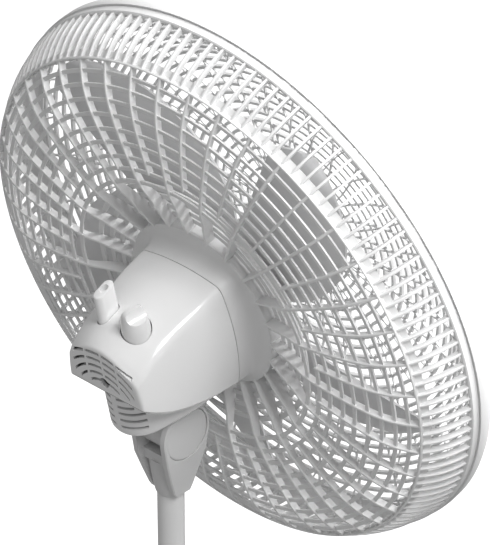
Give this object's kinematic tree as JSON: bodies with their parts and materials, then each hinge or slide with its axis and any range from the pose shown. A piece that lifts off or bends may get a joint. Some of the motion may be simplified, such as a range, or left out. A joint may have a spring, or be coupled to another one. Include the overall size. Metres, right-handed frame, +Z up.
{
  "type": "pedestal fan",
  "caption": "Pedestal fan with a round weighted base, telescopic pole, tilting and oscillating motor head, wide blades, and ribbed front and rear guards.",
  "frame": {"origin": "on the floor, on the pole's axis, at the centre of the middle foot's underside", "axes": "+Z up the pole; the fan blows towards -Y; the tilt pin lies along X"},
  "size_m": [0.443, 0.4, 1.2155],
  "materials": {
    "gloss_white": "polished moulding",
    "satin_white": "satin moulding",
    "white_enamel": "stove enamel",
    "pale_grey": "fine satin moulding",
    "blade_grey": "smooth moulding",
    "dark_plastic": "matt moulding",
    "steel": "turned and plated",
    "copper": "varnished winding wire",
    "iron": "rough, dark",
    "bronze": "sintered bronze",
    "rubber": "matt"
  },
  "bodies": {
    "stand": {"base_cover": "satin_white", "cord_gland": "dark_plastic", "base_plate": "dark_plastic", "base_weight": "iron", "pole_socket": "steel", "pole_bolt": "steel", "pole_nut": "steel", "foot_1": "rubber", "foot_2": "rubber", "foot_3": "rubber", "foot_4": "rubber", "foot_5": "rubber", "foot_centre": "rubber", "lower_tube": "white_enamel", "height_collar": "pale_grey"},
    "clamp": {"clamp_knob": "pale_grey", "clamp_screw": "steel"},
    "mast": {"inner_pole": "white_enamel", "yoke": "pale_grey", "cheek_cover_left": "pale_grey", "cheek_cover_right": "pale_grey", "tilt_pin": "steel"},
    "neck": {"neck": "pale_grey", "swivel_bush": "bronze"},
    "head": {"upper_housing": "gloss_white", "lower_housing": "gloss_white", "collar_flange": "satin_white", "front_bracket": "steel", "front_bearing": "steel", "winding_front": "copper", "stator": "iron", "winding_rear": "copper", "rear_bracket": "steel", "rear_bearing": "steel", "gear_case": "pale_grey", "swivel_pin": "steel", "rear_screw": "steel", "capacitor": "dark_plastic", "speed_switch": "dark_plastic", "rear_grille": "satin_white", "grille_nut": "pale_grey", "front_grille": "satin_white", "front_cap": "gloss_white"},
    "fan_rotor": {"rotor": "iron", "shaft": "steel", "worm": "steel", "blade": "blade_grey", "blade_nut": "pale_grey"},
    "crank": {"worm_wheel": "bronze", "crank": "steel"},
    "link": {"crank_link": "steel"},
    "speed_control": {"speed_knob": "gloss_white", "speed_spindle": "steel"},
    "oscillation_control": {"oscillation_knob": "gloss_white", "oscillation_rod": "steel"}
  },
  "joints": [
    {"name": "height_slide", "type": "slide", "parent": "stand", "child": "mast", "axis": [0, 0, 1], "range_m": [-0.08, 0.19]},
    {"name": "clamp_turn", "type": "hinge", "parent": "stand", "child": "clamp", "pos_m": [0, 0.038, 0.706], "axis": [0, 1, 0], "range_deg": [0, 360]},
    {"name": "tilt", "type": "hinge", "parent": "mast", "child": "neck", "pos_m": [0, 0, 0.9], "axis": [1, 0, 0], "range_deg": [-10, 18]},
    {"name": "oscillation", "type": "hinge", "parent": "neck", "child": "head", "pos_m": [0, 0, 0.9], "axis": [0, 0.2011, 0.9796], "range_deg": [-40, 40]},
    {"name": "blade_spin", "type": "hinge", "parent": "head", "child": "fan_rotor", "pos_m": [0, -0.07567, 0.99587], "axis": [0, 0.9796, -0.2011], "continuous": true},
    {"name": "crank_turn", "type": "hinge", "parent": "head", "child": "crank", "pos_m": [0.012, 0.03737, 0.97267], "axis": [0, 0.2011, 0.9796], "continuous": true},
    {"name": "link_turn", "type": "hinge", "parent": "crank", "child": "link", "pos_m": [0.012, 0.0255, 0.93223], "axis": [0, 0.2011, 0.9796], "continuous": true},
    {"name": "speed_turn", "type": "hinge", "parent": "head", "child": "speed_control", "pos_m": [-0.0135, 0.04601, 1.01173], "axis": [0, 0.2011, 0.9796], "range_deg": [0, 180]},
    {"name": "oscillation_push", "type": "slide", "parent": "head", "child": "oscillation_control", "axis": [0, 0.2011, 0.9796], "range_m": [-0.007, 0]}
  ],
  "couplings": [
    {"joint": "crank_turn", "follows": "blade_spin", "ratio": 0.0041667},
    {"joint": "link_turn", "follows": "blade_spin", "ratio": -0.0041667}
  ]
}
